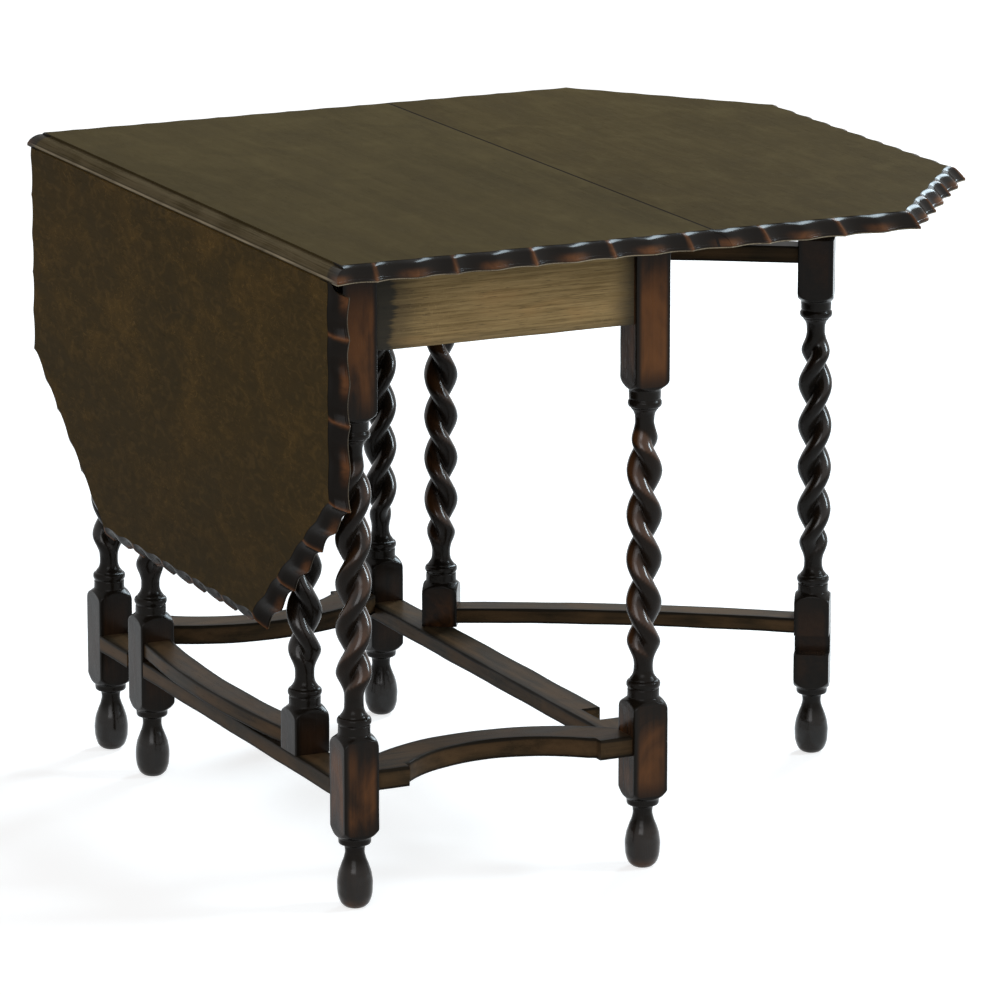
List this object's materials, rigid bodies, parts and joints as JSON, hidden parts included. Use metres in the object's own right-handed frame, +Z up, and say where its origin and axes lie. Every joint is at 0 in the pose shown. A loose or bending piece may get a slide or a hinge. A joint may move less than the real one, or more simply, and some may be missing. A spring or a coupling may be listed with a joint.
{
  "type": "gateleg drop-leaf table",
  "caption": "Drop-leaf dining table with a scalloped octagonal top and barley-twist gate legs: one leaf raised on its open gate, one leaf hanging beside its closed gate.",
  "frame": {"origin": "on the floor under the middle of the table's box, one leaf raised and one hanging", "axes": "+Z up, +X towards the raised leaf, +Y along the hinge lines"},
  "size_m": [0.8942, 0.8914, 0.74],
  "materials": {
    "oak_top": "waxed oak, olive brown, low sheen",
    "oak_apron": "worn oak, golden brown with dark ends",
    "oak_turned": "dark stained oak, glossy shellac",
    "oak_rail": "dark stained oak, satin",
    "oak_block": "plain oak, unfinished",
    "hinge_iron": "dull dark iron",
    "screw_steel": "dull steel"
  },
  "bodies": {
    "frame": {"leg_near_left": "oak_turned", "leg_near_right": "oak_turned", "leg_far_right": "oak_turned", "leg_far_left": "oak_turned", "apron_near": "oak_apron", "apron_far": "oak_apron", "apron_left": "oak_apron", "apron_right": "oak_apron", "stretcher_left": "oak_rail", "stretcher_right": "oak_rail", "stretcher_near": "oak_rail", "stretcher_far": "oak_rail", "fixing_block_1": "oak_block", "fixing_block_2": "oak_block", "fixing_block_3": "oak_block", "fixing_block_4": "oak_block", "screws_fixing_blocks": "screw_steel", "top_fixed": "oak_top", "hinge_frame_plates_left": "hinge_iron", "hinge_frame_plates_right": "hinge_iron", "hinge_pins_left": "hinge_iron", "hinge_pins_right": "hinge_iron", "screws_hinge_frame_left": "screw_steel", "screws_hinge_frame_right": "screw_steel", "leaf_right": "oak_top", "hinge_leaf_plates_right": "hinge_iron", "screws_hinge_leaf_right": "screw_steel", "stop_block_right": "oak_block", "screws_stop_right": "screw_steel"},
    "left_leaf": {"leaf_left": "oak_top", "hinge_leaf_plates_left": "hinge_iron", "screws_hinge_leaf_left": "screw_steel", "stop_block_left": "oak_block", "screws_stop_left": "screw_steel"},
    "right_gate": {"pivot_post_right": "oak_turned", "gate_leg_right": "oak_turned", "gate_rail_lower_right": "oak_rail", "gate_rail_upper_right": "oak_rail", "pivot_pins_right": "oak_rail"},
    "left_gate": {"pivot_post_left": "oak_turned", "gate_leg_left": "oak_turned", "gate_rail_lower_left": "oak_rail", "gate_rail_upper_left": "oak_rail", "pivot_pins_left": "oak_rail"}
  },
  "joints": [
    {"name": "left_leaf_hinge", "type": "hinge", "parent": "frame", "child": "left_leaf", "pos_m": [-0.43015, 0, 0.723], "axis": [0, 1, 0], "range_deg": [0, 90]},
    {"name": "right_gate_pivot", "type": "hinge", "parent": "frame", "child": "right_gate", "pos_m": [-0.01925, 0.2305, 0.1455], "axis": [0, 0, 1], "range_deg": [-57.9, 0]},
    {"name": "left_gate_pivot", "type": "hinge", "parent": "frame", "child": "left_gate", "pos_m": [-0.39645, -0.233, 0.1455], "axis": [0, 0, 1], "range_deg": [0, 2]}
  ]
}
